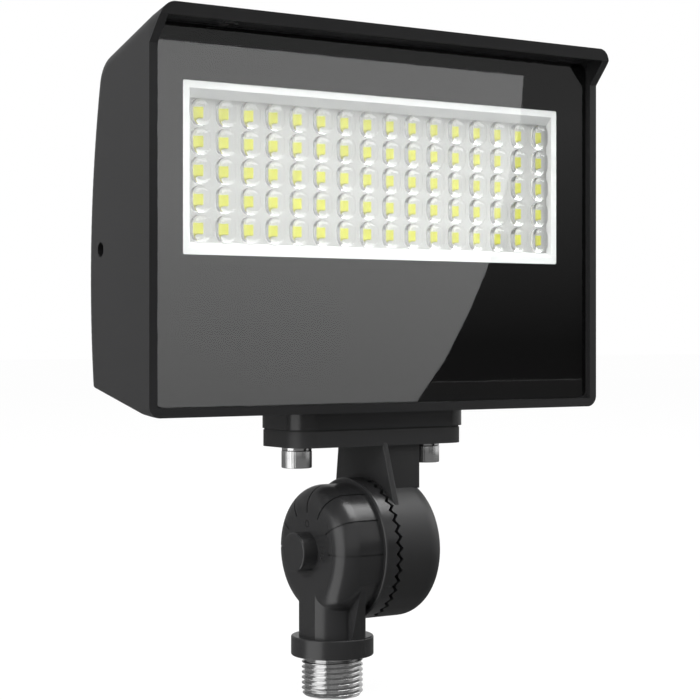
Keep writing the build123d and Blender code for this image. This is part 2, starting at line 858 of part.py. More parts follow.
def mark_cuts():
    """Engraved angle marks over the dome."""
    cuts = []
    for angle in range(-90, 91, mark_step):
        ring = rod((hub_end - 0.1, 0, pivot_z), flange_start - hub_end, hub_radius + 1, (1, 0, 0))
        core = rod((hub_end + mark_depth, 0, pivot_z), 40, hub_radius - mark_depth, (1, 0, 0))
        core = fillet(core.faces().sort_by(Axis.X)[0].edges(), hub_shoulder - mark_depth)
        blade = box_between(
            (hub_end - 1, -mark_width / 2, pivot_z + hub_radius - 9.5),
            (flange_start, mark_width / 2, pivot_z + hub_radius + 2),
        )
        turn = Pos(0, 0, pivot_z) * Rot(angle, 0, 0) * Pos(0, 0, -pivot_z)
        cuts.append(turn * (blade & ring) - core)
    return cuts


def build_oring():
    """Seal ring between the two halves of the knuckle."""
    ring = Torus(oring_radius, oring_cord / 2)
    x = hub_root + oring_cord / 2 + 0.05
    return Pos(x, 0, pivot_z) * Rot(0, 90, 0) * ring


def build_pivot_bolt():
    """Socket-head bolt that clamps the tilt joint."""
    start = (disc_end - pivot_head_gap, 0, pivot_z)
    tip = hub_end - end_boss_height + 2.5
    length = start[0] - pivot_head_height - tip
    return socket_screw(start, (-1, 0, 0), pivot_head_radius, pivot_head_height,
                        pivot_radius, length, pivot_socket_flat)


def build_pivot_washer():
    """Washer under the pivot bolt's head."""
    face = disc_end - pivot_head_gap - pivot_head_height
    thickness = pivot_washer_thickness - pivot_washer_gap
    ring = rod((face - thickness, 0, pivot_z), thickness, pivot_head_radius - 0.1, (1, 0, 0))
    return ring - rod((face - 5, 0, pivot_z), 9, pivot_radius, (1, 0, 0))


def build_nipple():
    """Threaded half-inch nipple with its wire bore and spigot."""
    root = nipple_radius - thread_depth
    turns = int((collar_bottom - nipple_chamfer) / thread_pitch)
    outline = [(nipple_bore, 0), (nipple_radius - nipple_chamfer, 0)]
    z = nipple_chamfer
    flank = (thread_pitch - thread_crest * 2) / 2
    for k in range(turns):
        outline += [(nipple_radius, z), (nipple_radius, z + thread_crest)]
        outline += [(root, z + thread_crest + flank), (root, z + 2 * thread_crest + flank)]
        z += thread_pitch
    outline += [(root, collar_bottom), (spigot_radius, collar_bottom)]
    outline += [(spigot_radius, collar_bottom + spigot_length), (nipple_bore, collar_bottom + spigot_length)]
    return revolve(Plane.XZ * make_face(Polyline(*outline, close=True)), Axis.Z)


def build_grub_screw():
    """Grub screw that locks the nipple in the collar."""
    z = collar_bottom + spigot_length / 2
    screw = rod((0, spigot_radius, z), grub_length, grub_radius, (0, 1, 0))
    plane = Plane(origin=(0, spigot_radius + grub_length, z), z_dir=(0, 1, 0))
    return screw - extrude(plane * RegularPolygon(1.0, 6), -1.5)


pieces = {
    "housing": build_housing,
    "front_glass": build_glass,
    "glass_print": build_glass_print,
    "glass_seal": build_seal,
    "window_frame": build_window_frame,
    "lens_array": build_lens_array,
    "diodes": build_diodes,
    "diode_board": build_board,
    "thermal_pad": build_pad,
    "heat_spreader": build_spreader,
    "spreader_screws": build_spreader_screws,
    "board_screws": build_board_screws,
    "board_connector": build_board_connector,
    "driver_leads": build_leads,
    "driver_case": build_driver_case,
    "driver_cover": build_driver_cover,
    "driver_board": build_driver_board,
    "driver_transformer": build_transformer,
    "driver_capacitors": build_capacitors,
    "driver_screws": build_driver_screws,
    "terminal_block": build_terminal_block,
    "foot_gasket": build_gasket,
    "knuckle_arm": build_arm,
    "mounting_bolts": build_mounting_bolts,
    "lock_washers": build_lock_washers,
    "knuckle_hub": build_hub,
    "pivot_oring": build_oring,
    "pivot_bolt": build_pivot_bolt,
    "pivot_washer": build_pivot_washer,
    "nipple": build_nipple,
    "nipple_grub_screw": build_grub_screw,
}

for name, build in pieces.items():
    shape = build()
    if name == "knuckle_hub":
        for cut in mark_cuts():
            shape -= cut
    save(shape, name)
    print(name, round(shape.volume, 1))
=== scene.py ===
import math
import bmesh
import bpy
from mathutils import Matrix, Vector


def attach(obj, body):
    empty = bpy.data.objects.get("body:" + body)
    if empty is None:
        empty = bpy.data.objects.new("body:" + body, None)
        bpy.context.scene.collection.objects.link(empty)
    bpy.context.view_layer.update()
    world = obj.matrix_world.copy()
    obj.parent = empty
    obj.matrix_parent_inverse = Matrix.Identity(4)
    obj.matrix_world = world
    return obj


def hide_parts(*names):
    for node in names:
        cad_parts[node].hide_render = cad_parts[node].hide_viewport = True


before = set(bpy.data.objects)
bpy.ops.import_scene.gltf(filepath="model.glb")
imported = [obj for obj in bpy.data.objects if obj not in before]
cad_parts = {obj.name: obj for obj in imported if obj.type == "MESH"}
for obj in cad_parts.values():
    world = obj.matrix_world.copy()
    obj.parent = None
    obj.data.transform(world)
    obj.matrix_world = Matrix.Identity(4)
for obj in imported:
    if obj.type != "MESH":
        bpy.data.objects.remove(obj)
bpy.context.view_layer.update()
mm = 0.001
print("frame loaded")

# camera: level, 34 degrees left of straight in front
cameraSettings = {"place": (-0.3605, -0.5455, 0.1257), "turn": 34.0, "lens": 96.4, "shiftY": -0.0229}


def makeCamera(settings):
    data = bpy.data.cameras.new("camera")
    data.lens = settings["lens"]
    data.sensor_width = 36.0
    data.shift_y = settings["shiftY"]
    data.clip_start = 0.01
    data.clip_end = 50.0
    camera = bpy.data.objects.new("camera", data)
    camera.location = settings["place"]
    camera.rotation_euler = (math.radians(90), 0, math.radians(-settings["turn"]))
    bpy.context.collection.objects.link(camera)
    bpy.context.scene.camera = camera


makeCamera(cameraSettings)


# small helpers for building shader trees
def newMaterial(name):
    material = bpy.data.materials.new(name)
    material.use_nodes = True
    nodes = material.node_tree.nodes
    shader = nodes["Principled BSDF"]
    return material, nodes, material.node_tree.links, shader


def objectCoordinates(nodes):
    return nodes.new("ShaderNodeTexCoord").outputs["Object"]


def newGroup(name, inputs, outputs):
    group = bpy.data.node_groups.new(name, "ShaderNodeTree")
    for socketName, kind, value in inputs:
        socket = group.interface.new_socket(name=socketName, in_out="INPUT", socket_type=kind)
        if value is not None:
            socket.default_value = value
    for socketName, kind in outputs:
        group.interface.new_socket(name=socketName, in_out="OUTPUT", socket_type=kind)
    return group, group.nodes.new("NodeGroupInput"), group.nodes.new("NodeGroupOutput")


# fine orange-peel grain of a baked powder coat
def makeGrainGroup():
    group, entry, out = newGroup(
        "coatGrain",
        [("Coordinates", "NodeSocketVector", None), ("Scale", "NodeSocketFloat", 900.0),
         ("Cloud Scale", "NodeSocketFloat", 18.0)],
        [("Height", "NodeSocketFloat"), ("Cloud", "NodeSocketFloat")],
    )
    nodes, links = group.nodes, group.links
    fine = nodes.new("ShaderNodeTexNoise")
    fine.inputs["Detail"].default_value = 3.0
    fine.inputs["Roughness"].default_value = 0.6
    links.new(entry.outputs["Coordinates"], fine.inputs["Vector"])
    links.new(entry.outputs["Scale"], fine.inputs["Scale"])
    cloud = nodes.new("ShaderNodeTexNoise")
    cloud.inputs["Detail"].default_value = 4.0
    links.new(entry.outputs["Coordinates"], cloud.inputs["Vector"])
    links.new(entry.outputs["Cloud Scale"], cloud.inputs["Scale"])
    links.new(fine.outputs["Fac"], out.inputs["Height"])
    links.new(cloud.outputs["Fac"], out.inputs["Cloud"])
    return group


grainGroup = makeGrainGroup()


def mixColours(nodes, links, factor, first, second):
    mix = nodes.new("ShaderNodeMix")
    mix.data_type = "RGBA"
    mix.inputs["A"].default_value = (*first, 1)
    mix.inputs["B"].default_value = (*second, 1)
    links.new(factor, mix.inputs["Factor"])
    return mix.outputs["Result"]


def spread(nodes, links, value, low, high):
    remap = nodes.new("ShaderNodeMapRange")
    remap.inputs["From Min"].default_value = 0.3
    remap.inputs["From Max"].default_value = 0.7
    remap.inputs["To Min"].default_value = low
    remap.inputs["To Max"].default_value = high
    links.new(value, remap.inputs["Value"])
    return remap.outputs["Result"]


# a finish with grain: colour and roughness drift slowly, height is fine
def grainMaterial(name, settings):
    material, nodes, links, shader = newMaterial(name)
    grain = nodes.new("ShaderNodeGroup")
    grain.node_tree = grainGroup
    links.new(objectCoordinates(nodes), grain.inputs["Coordinates"])
    grain.inputs["Scale"].default_value = settings["grain"]
    grain.inputs["Cloud Scale"].default_value = settings["cloud"]
    colour = mixColours(nodes, links, grain.outputs["Cloud"], settings["dark"], settings["pale"])
    links.new(colour, shader.inputs["Base Color"])
    roughness = spread(nodes, links, grain.outputs["Cloud"], settings["rough"][0], settings["rough"][1])
    links.new(roughness, shader.inputs["Roughness"])
    shader.inputs["Metallic"].default_value = settings.get("metallic", 0.0)
    bump = nodes.new("ShaderNodeBump")
    bump.inputs["Strength"].default_value = settings["bump"]
    bump.inputs["Distance"].default_value = settings["depth"]
    links.new(grain.outputs["Height"], bump.inputs["Height"])
    links.new(bump.outputs["Normal"], shader.inputs["Normal"])
    return material


finishes = {
    "powderCoat": {"grain": 1400.0, "cloud": 14.0, "dark": (0.017, 0.017, 0.0175), "pale": (0.022, 0.022, 0.0225),
                   "rough": (0.22, 0.28), "bump": 0.12, "depth": 0.0002},
    "satinCoat": {"grain": 1400.0, "cloud": 14.0, "dark": (0.015, 0.015, 0.0155), "pale": (0.019, 0.019, 0.0195),
                  "rough": (0.46, 0.54), "bump": 0.15, "depth": 0.0002},
    "zincSteel": {"grain": 2200.0, "cloud": 90.0, "dark": (0.66, 0.66, 0.66), "pale": (0.76, 0.76, 0.76),
                  "rough": (0.12, 0.2), "bump": 0.06, "depth": 0.0001, "metallic": 1.0},
    "bareAluminium": {"grain": 1500.0, "cloud": 30.0, "dark": (0.68, 0.69, 0.70), "pale": (0.78, 0.78, 0.79),
                      "rough": (0.32, 0.45), "bump": 0.2, "depth": 0.0002, "metallic": 1.0},
    "greySilicone": {"grain": 700.0, "cloud": 20.0, "dark": (0.05, 0.05, 0.05), "pale": (0.07, 0.07, 0.07),
                     "rough": (0.6, 0.75), "bump": 0.2, "depth": 0.0002},
    "blackRubber": {"grain": 900.0, "cloud": 30.0, "dark": (0.012, 0.012, 0.012), "pale": (0.022, 0.022, 0.022),
                    "rough": (0.6, 0.8), "bump": 0.3, "depth": 0.0002},
    "whitePlastic": {"grain": 900.0, "cloud": 25.0, "dark": (0.82, 0.82, 0.815), "pale": (0.86, 0.86, 0.855),
                     "rough": (0.35, 0.45), "bump": 0.08, "depth": 0.0001},
    "whiteBoard": {"grain": 1600.0, "cloud": 40.0, "dark": (0.76, 0.76, 0.75), "pale": (0.84, 0.84, 0.83),
                   "rough": (0.4, 0.5), "bump": 0.1, "depth": 0.0001},
    "greenBoard": {"grain": 900.0, "cloud": 60.0, "dark": (0.02, 0.13, 0.06), "pale": (0.03, 0.17, 0.08),
                   "rough": (0.3, 0.42), "bump": 0.15, "depth": 0.0002},
    "darkPlastic": {"grain": 800.0, "cloud": 40.0, "dark": (0.02, 0.02, 0.022), "pale": (0.035, 0.035, 0.036),
                    "rough": (0.45, 0.6), "bump": 0.2, "depth": 0.0002},
    "leadInsulation": {"grain": 800.0, "cloud": 60.0, "dark": (0.42, 0.02, 0.02), "pale": (0.5, 0.03, 0.03),
                       "rough": (0.35, 0.5), "bump": 0.1, "depth": 0.0001},
    "ceramicPrint": {"grain": 1200.0, "cloud": 12.0, "dark": (0.004, 0.004, 0.004), "pale": (0.007, 0.007, 0.007),
                     "rough": (0.12, 0.2), "bump": 0.03, "depth": 0.0001},
    # painted shade: the dial numbers are coloured darker than the coat to stand in for shade inside engraved
    # grooves
    "engravingShade": {"grain": 1400.0, "cloud": 30.0, "dark": (0.006, 0.006, 0.006), "pale": (0.010, 0.010, 0.010),
                     "rough": (0.6, 0.7), "bump": 0.1, "depth": 0.0001},
    "yellowPhosphor": {"grain": 2500.0, "cloud": 160.0, "dark": (0.72, 0.73, 0.04), "pale": (0.84, 0.84, 0.09),
                       "rough": (0.5, 0.6), "bump": 0.2, "depth": 0.0001},
}
materials = {name: grainMaterial(name, values) for name, values in finishes.items()}


# clear glass and clear lens plastic, with faint waviness only
def clearMaterial(name, tint, roughness, ior):
    material, nodes, links, shader = newMaterial(name)
    shader.inputs["Base Color"].default_value = (*tint, 1)
    shader.inputs["Transmission Weight"].default_value = 1.0
    shader.inputs["Metallic"].default_value = 0.0
    shader.inputs["IOR"].default_value = ior
    wave = nodes.new("ShaderNodeTexNoise")
    wave.inputs["Scale"].default_value = 30.0
    wave.inputs["Detail"].default_value = 1.0
    links.new(objectCoordinates(nodes), wave.inputs["Vector"])
    rough = spread(nodes, links, wave.outputs["Fac"], roughness, roughness * 1.5)
    links.new(rough, shader.inputs["Roughness"])
    return material


materials["clearGlass"] = clearMaterial("clearGlass", (0.97, 0.985, 0.98), 0.01, 1.5)
materials["clearLens"] = clearMaterial("clearLens", (0.985, 0.985, 0.98), 0.04, 1.49)
print("materials made")

# finish of each CAD node that stays in view or inside
nodeFinish = {
    "housing": "powderCoat", "knuckle_arm": "satinCoat", "knuckle_hub": "powderCoat",
    "front_glass": "clearGlass", "glass_print": "ceramicPrint", "glass_seal": "greySilicone",
    "window_frame": "whitePlastic", "lens_array": "clearLens", "diodes": "yellowPhosphor",
    "diode_board": "whiteBoard", "thermal_pad": "greySilicone", "heat_spreader": "bareAluminium",
    "spreader_screws": "zincSteel", "board_screws": "zincSteel", "board_connector": "whitePlastic",
    "driver_leads": "leadInsulation", "driver_case": "bareAluminium", "driver_cover": "bareAluminium",
    "driver_board": "greenBoard", "driver_transformer": "darkPlastic", "driver_capacitors": "darkPlastic",
    "driver_screws": "zincSteel", "terminal_block": "darkPlastic", "foot_gasket": "blackRubber",
    "mounting_bolts": "zincSteel", "lock_washers": "zincSteel", "pivot_oring": "blackRubber",
    "pivot_bolt": "zincSteel", "pivot_washer": "zincSteel", "nipple": "zincSteel",
    "nipple_grub_screw": "zincSteel",
}


def dressNode(node, finish):
    owner = bpy.data.objects.get(node)
    slots = owner.material_slots
    if not slots:
        owner.data.materials.append(materials[finish])
    for slot in slots:
        slot.material = materials[finish]


for node, finish in nodeFinish.items():
    dressNode(node, finish)
print("CAD nodes dressed")


# mesh helpers: a skin over rings of points, and a new object for it
def skinRows(mesh, rows):
    count = len(rows[0])
    for first, second in zip(rows, rows[1:]):
        for i in range(count):
            j = (i + 1) % count
            mesh.faces.new((first[i], first[j], second[j], second[i]))


def skinRings(rings, closeLoop=False):  # a loop joins its last ring to its first, and else both ends are capped
    mesh = bmesh.new()
    rows = [[mesh.verts.new(point) for point in ring] for ring in rings]
    if closeLoop:
        skinRows(mesh, rows + rows[:1])
        return mesh
    skinRows(mesh, rows)
    mesh.faces.new(list(reversed(rows[0])))
    mesh.faces.new(rows[-1])
    return mesh


def finishMesh(name, source, smoothAngle=None):
    bmesh.ops.remove_doubles(source, verts=source.verts, dist=1e-7)
    bmesh.ops.recalc_face_normals(source, faces=source.faces)
    data = bpy.data.meshes.new(name)
    source.to_mesh(data)
    source.free()
    piece = bpy.data.objects.new(name, data)
    bpy.context.collection.objects.link(piece)
    if smoothAngle is not None:
        data.shade_smooth()
        data.set_sharp_from_angle(angle=math.radians(smoothAngle))
    return piece


def settle(piece, body, slot, *nodes):
    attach(piece, body)
    if nodes:
        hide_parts(*nodes)


# a geometry tree that repeats the mesh it is given over a standing grid of points
def makeGridTree():
    tree = bpy.data.node_groups.new("repeatOnGrid", "GeometryNodeTree")
    tree.interface.new_socket(name="Geometry", in_out="INPUT", socket_type="NodeSocketGeometry")
    for socketName, kind in (("Columns", "NodeSocketInt"), ("Rows", "NodeSocketInt"),
                             ("Width", "NodeSocketFloat"), ("Height", "NodeSocketFloat"),
                             ("Place", "NodeSocketVector"), ("Weld", "NodeSocketFloat"),
                             ("Finish", "NodeSocketMaterial")):
        tree.interface.new_socket(name=socketName, in_out="INPUT", socket_type=kind)
    tree.interface.new_socket(name="Geometry", in_out="OUTPUT", socket_type="NodeSocketGeometry")
    nodes, links = tree.nodes, tree.links
    entry, out = nodes.new("NodeGroupInput"), nodes.new("NodeGroupOutput")
    grid = nodes.new("GeometryNodeMeshGrid")
    stand = nodes.new("GeometryNodeTransform")
    stand.inputs["Rotation"].default_value = (math.radians(90), 0, 0)
    instance = nodes.new("GeometryNodeInstanceOnPoints")
    realize = nodes.new("GeometryNodeRealizeInstances")
    weld = nodes.new("GeometryNodeMergeByDistance")
    finish = nodes.new("GeometryNodeSetMaterial")
    for source, target in (("Columns", "Vertices X"), ("Rows", "Vertices Y"),
                           ("Width", "Size X"), ("Height", "Size Y")):
        links.new(entry.outputs[source], grid.inputs[target])
    links.new(grid.outputs["Mesh"], stand.inputs["Geometry"])
    links.new(entry.outputs["Place"], stand.inputs["Translation"])
    links.new(stand.outputs["Geometry"], instance.inputs["Points"])
    links.new(entry.outputs["Geometry"], instance.inputs["Instance"])
    links.new(instance.outputs["Instances"], realize.inputs["Geometry"])
    links.new(realize.outputs["Geometry"], weld.inputs["Geometry"])
    links.new(entry.outputs["Weld"], weld.inputs["Distance"])
    links.new(weld.outputs["Geometry"], finish.inputs["Geometry"])
    links.new(entry.outputs["Finish"], finish.inputs["Material"])
    links.new(finish.outputs["Geometry"], out.inputs["Geometry"])
    return tree


gridTree = makeGridTree()


def gridInputs(settings, weld, finish):
    return {
        "Columns": settings["columns"], "Rows": settings["rows"],
        "Width": (settings["columns"] - 1) * settings["pitchX"] * mm,
        "Height": (settings["rows"] - 1) * settings["pitchZ"] * mm,
        "Place": (settings["centreX"] * mm, 0.0, settings["centreZ"] * mm),
        "Weld": weld, "Finish": materials[finish],
    }


def repeatPiece(piece, values):
    modifier = piece.modifiers.new("repeat", "NODES")
    modifier.node_group = gridTree
    identifiers = {item.name: item.identifier
                   for item in gridTree.interface.items_tree if item.in_out == "INPUT"}
    for key, value in values.items():
        modifier[identifiers[key]] = value
    bpy.context.view_layer.update()
    evaluated = piece.evaluated_get(bpy.context.evaluated_depsgraph_get())
    plain = bpy.data.meshes.new_from_object(evaluated)
    piece.modifiers.remove(modifier)
    old = piece.data
    piece.data = plain
    bpy.data.meshes.remove(old)
    plain.name = piece.name


# upright outline with round corners, in the XZ plane, in metres
def standingOutline(width, height, corner, y, arcSteps):
    points = []
    for corners in range(4):
        signX = (1, -1, -1, 1)[corners]
        signZ = (1, 1, -1, -1)[corners]
        for step in range(arcSteps + 1):
            angle = math.pi / 2 * (corners + step / arcSteps)
            x = signX * (width / 2 - corner) + corner * math.cos(angle)
            z = signZ * (height / 2 - corner) + corner * math.sin(angle)
            points.append(Vector((x * mm, y * mm, z * mm)))
    return points


# clear moulded lens sheet: one cell with its dome, repeated and welded
lensSheet = {"columns": 16, "rows": 5, "pitchX": 9.53, "pitchZ": 9.5, "centreX": 13.0, "centreZ": 179.25,
             "front": -8.5, "back": -7.5, "domeTop": -10.9, "width": 7.2, "height": 9.0, "corner": 3.0,
             "round": 1.9, "roundTurn": 82, "leastCorner": 0.4, "arcSteps": 5, "roundSteps": 5,
             "weld": 0.00002, "sharp": 40}


def lensCell(settings):
    cell = bmesh.new()
    depth = settings["front"] - settings["domeTop"]
    halfX, halfZ = settings["pitchX"] / 2 * mm, settings["pitchZ"] / 2 * mm
    corners = [cell.verts.new((x, settings["front"] * mm, z))
               for x, z in ((halfX, halfZ), (-halfX, halfZ), (-halfX, -halfZ), (halfX, -halfZ))]
    rings = [standingOutline(settings["width"], settings["height"], settings["corner"],
                             settings["front"], settings["arcSteps"])]
    for step in range(settings["roundSteps"] + 1):
        angle = math.radians(settings["roundTurn"]) * step / settings["roundSteps"]
        inset = settings["round"] * (1 - math.cos(angle))
        y = settings["front"] - (depth - settings["round"]) - settings["round"] * math.sin(angle)
        rings.append(standingOutline(settings["width"] - 2 * inset, settings["height"] - 2 * inset,
                                     max(settings["corner"] - inset, settings["leastCorner"]), y,
                                     settings["arcSteps"]))
    rows = [[cell.verts.new(point) for point in ring] for ring in rings]
    count = len(rows[0])
    skinRows(cell, rows)
    top = cell.verts.new((0, settings["domeTop"] * mm, 0))
    for i in range(count):
        cell.faces.new((rows[-1][i], rows[-1][(i + 1) % count], top))
    quarter = count // 4
    for corner in range(4):  # flat part between the dome and the cell's edge
        start = corner * quarter
        for i in range(start, start + quarter - 1):
            cell.faces.new((corners[corner], rows[0][i + 1], rows[0][i]))
        nextCorner = (corner + 1) % 4
        i, j = start + quarter - 1, (start + quarter) % count
        cell.faces.new((corners[corner], corners[nextCorner], rows[0][j], rows[0][i]))
    back = [cell.verts.new((v.co.x, settings["back"] * mm, v.co.z)) for v in corners]
    cell.faces.new(back)
    return cell


def makeLensSheet(settings):
    cell = lensCell(settings)
    data = bpy.data.meshes.new("lensSheet")
    cell.to_mesh(data)
    cell.free()
    piece = bpy.data.objects.new("lensSheet", data)
    bpy.context.collection.objects.link(piece)
    repeatPiece(piece, gridInputs(settings, settings["weld"], "clearLens"))
    sheet = bmesh.new()
    sheet.from_mesh(piece.data)
    border = [edge for edge in sheet.edges if edge.is_boundary]
    bmesh.ops.bridge_loops(sheet, edges=border)
    bmesh.ops.recalc_face_normals(sheet, faces=sheet.faces)
    sheet.to_mesh(piece.data)
    sheet.free()
    piece.data.shade_smooth()
    piece.data.set_sharp_from_angle(angle=math.radians(settings["sharp"]))
    settle(piece, "head", "clear_lens", "lens_array")
    piece.visible_shadow = False


makeLensSheet(lensSheet)
bpy.data.objects["front_glass"].visible_shadow = False  # the lamps reach the board through both clear pieces
print("lens sheet made")

# diodes: a package with a raised phosphor pad, the whole chip in the yellow phosphor finish
diodeSettings = {"width": 2.6, "height": 3.4, "lip": 0.15, "front": -7.17, "back": -6.6, "padRise": 0.05,
                 "corner": 0.25, "edge": 0.06, "edgeDepth": 0.09, "arcSteps": 2, "smoothing": 30}


def makeDiodes(settings):
    front, edge, padInset = settings["front"], settings["edge"], 2 * settings["lip"]
    rings = []
    for inset, y in ((0.0, settings["back"]), (0.0, front + settings["edgeDepth"]), (edge, front),
                     (padInset, front), (padInset + edge, front - settings["padRise"])):
        rings.append(standingOutline(settings["width"] - inset, settings["height"] - inset,
                                     settings["corner"], y, settings["arcSteps"]))
    piece = finishMesh("diodeChips", skinRings(rings), settings["smoothing"])
    repeatPiece(piece, gridInputs(lensSheet, 0.0, "yellowPhosphor"))
    settle(piece, "head", "yellow_phosphor", "diodes")


makeDiodes(diodeSettings)
print("diodes made")

# nipple: one helical pipe thread, chamfered at the lower end, plain inside the collar
nippleSettings = {"outer": 10.65, "bore": 7.6, "depth": 1.25, "pitch": 25.4 / 14, "top": 14.1, "spigot": 9.95,
                  "spigotTop": 19.6, "chamfer": 1.2, "flat": 0.12, "runOut": 1.6, "step": 0.1,
                  "boreEdge": 0.3, "mouthEdge": 0.5, "around": 96, "perPitch": 14, "smoothing": 60}


def threadRadius(settings, turn):
    rest = turn - math.floor(turn)
    share = abs(rest - 0.5) * 2  # 0 at the root, 1 at the crest
    share = min(max((share - settings["flat"]) / (1 - 2 * settings["flat"]), 0.0), 1.0)
    return settings["outer"] - settings["depth"] * (1 - share)


def threadRing(settings, z):
    around, root = settings["around"], settings["outer"] - settings["depth"]
    runOut = min(max((settings["top"] - z) / settings["runOut"], 0.0), 1.0)
    ring = []
    for k in range(around):
        angle = 2 * math.pi * k / around
        radius = threadRadius(settings, z / settings["pitch"] - k / around)
        radius = min(radius, settings["outer"] - settings["chamfer"] + z)  # lead-in chamfer
        radius = root + (radius - root) * runOut if radius > root else radius
        ring.append((radius * math.cos(angle) * mm, radius * math.sin(angle) * mm, z * mm))
    return ring


def plainRing(radius, z, around):
    return [(radius * math.cos(2 * math.pi * k / around) * mm,
             radius * math.sin(2 * math.pi * k / around) * mm, z * mm) for k in range(around)]


def makeNipple(settings):
    rows = int(settings["top"] / (settings["pitch"] / settings["perPitch"]))
    rings = [threadRing(settings, settings["top"] * row / rows) for row in range(rows + 1)]
    spigot, spigotTop, bore = settings["spigot"], settings["spigotTop"], settings["bore"]
    for radius, z in ((spigot, settings["top"] + settings["step"]), (spigot, spigotTop),
                      (bore + settings["boreEdge"], spigotTop), (bore, spigotTop - settings["boreEdge"]),
                      (bore, settings["mouthEdge"]), (bore + settings["mouthEdge"], 0.0)):
        rings.append(plainRing(radius, z, settings["around"]))
    piece = finishMesh("threadedNipple", skinRings(rings, closeLoop=True), settings["smoothing"])
    piece.data.materials.append(materials["zincSteel"])
    settle(piece, "knuckle_base", "zinc_steel", "nipple")


makeNipple(nippleSettings)
print("nipple made")

# socket-head bolts with a knurled head, hanging head down under the plate
boltSettings = {"headRadius": 5.25, "headTop": 85.8, "headBottom": 79.6, "knurls": 60, "knurlDepth": 0.08,
                "knurlRamp": 0.3, "knurlEnd": 0.5, "chamfer": 0.15, "faceEdge": 0.35, "topEdge": 0.2,
                "topInset": 0.25, "socket": 2.5, "socketDepth": 3.2, "socketEdge": 0.2, "socketFlare": 0.25,
                "shank": 2.98, "tip": 102.2, "tipEdge": 0.6, "spacing": 54.6, "centreX": 12.6, "smoothing": 35}


def boltRing(settings, radius, z, knurled=False, hexagon=False):
    around = settings["knurls"] * 4
    points = []
    for k in range(around):
        angle = 2 * math.pi * k / around
        reach = radius
        if knurled:
            reach -= settings["knurlDepth"] * (0.0, 0.35, 1.0, 0.35)[k % 4]
        if hexagon:
            sector = (angle + math.pi / 6) % (math.pi / 3) - math.pi / 6
            reach = radius / math.cos(sector)
        points.append((reach * math.cos(angle) * mm, reach * math.sin(angle) * mm, z * mm))
    return points


def makeBolts(settings):
    low, high, head = settings["headBottom"], settings["headTop"], settings["headRadius"]
    socket, chamfer, shank = settings["socket"], settings["chamfer"], settings["shank"]
    rings = [boltRing(settings, radius, z, hexagon=True)
             for radius, z in ((socket, low + settings["socketDepth"]), (socket, low + settings["socketEdge"]),
                               (socket + settings["socketFlare"], low))]
    rings.append(boltRing(settings, head - chamfer - settings["faceEdge"], low))
    rings.append(boltRing(settings, head - settings["knurlDepth"], low + chamfer))
    rings.append(boltRing(settings, head, low + chamfer + settings["knurlRamp"], knurled=True))
    rings.append(boltRing(settings, head, high - settings["knurlEnd"], knurled=True))
    for radius, z in ((head - settings["knurlDepth"], high - settings["topEdge"]),
                      (head - settings["topInset"], high), (shank, high),
                      (shank, settings["tip"] - settings["tipEdge"]),
                      (shank - settings["tipEdge"], settings["tip"])):
        rings.append(boltRing(settings, radius, z))
    piece = finishMesh("plateBolts", skinRings(rings), settings["smoothing"])
    repeatPiece(piece, {
        "Columns": 2, "Rows": 1, "Width": settings["spacing"] * mm, "Height": 0.0,
        "Place": (settings["centreX"] * mm, 0.0, 0.0), "Weld": 0.0, "Finish": materials["zincSteel"],
    })
    settle(piece, "head", "zinc_steel", "mounting_bolts")


makeBolts(boltSettings)
print("bolts made")

# plain dial numbers on the end face of the hub; their colour is painted shade, darker than the coat, standing in
# for the shade inside engraved grooves
dialSettings = {"plane": -10.5, "pivotZ": 50.6, "radius": 9.4, "size": 3.7, "bold": 0.06, "stretch": 1.4,
                "rise": 0.03, "numbers": ((0, "0"), (90, "90"), (-90, "90"))}


def makeDialNumbers(settings):
    gathered = bmesh.new()
    for turn, words in settings["numbers"]:
        curve = bpy.data.curves.new("dialText", "FONT")
        curve.body = words
        curve.size = settings["size"] * mm
        curve.align_x = "CENTER"
        curve.align_y = "CENTER"
        curve.extrude = settings["rise"] * mm
        curve.offset = settings["bold"] * mm
        helper = bpy.data.objects.new("dialText", curve)
        bpy.context.collection.objects.link(helper)
        bpy.context.view_layer.update()
        flat = bpy.data.meshes.new_from_object(helper.evaluated_get(bpy.context.evaluated_depsgraph_get()))
        bpy.data.objects.remove(helper)
        angle = math.radians(turn)
        up = Vector((0, -math.sin(angle), math.cos(angle)))
        right = up.cross(Vector((-1, 0, 0)))
        centre = Vector((settings["plane"], 0, settings["pivotZ"])) * mm + up * settings["radius"] * mm
        for vertex in flat.vertices:
            local = vertex.co
            vertex.co = centre + right * local.x * settings["stretch"] + up * local.y - Vector((1, 0, 0)) * local.z
        gathered.from_mesh(flat)
        bpy.data.meshes.remove(flat)
    piece = finishMesh("dialNumbers", gathered)
    piece.data.materials.append(materials["engravingShade"])
    settle(piece, "knuckle_base", "black_powder_coat")


makeDialNumbers(dialSettings)
print("dial numbers made")


# studio: white floor and sky, soft lamps, and cards that only reflections see
def whenSeen(nodes, links):
    path = nodes.new("ShaderNodeLightPath")
    seen = path.outputs["Is Camera Ray"]
    for output in ("Is Transmission Ray", "Is Glossy Ray"):
        either = nodes.new("ShaderNodeMath")
        either.operation = "MAXIMUM"
        links.new(seen, either.inputs[0])
        links.new(path.outputs[output], either.inputs[1])
        seen = either.outputs[0]
    return seen


floorSettings = {"half": 8.0, "paper": 0.5, "roughness": 0.9, "gloss": 0.1, "white": 1.12, "share": 0.86}
worldSettings = {"light": 0.24, "seen": 1.0}


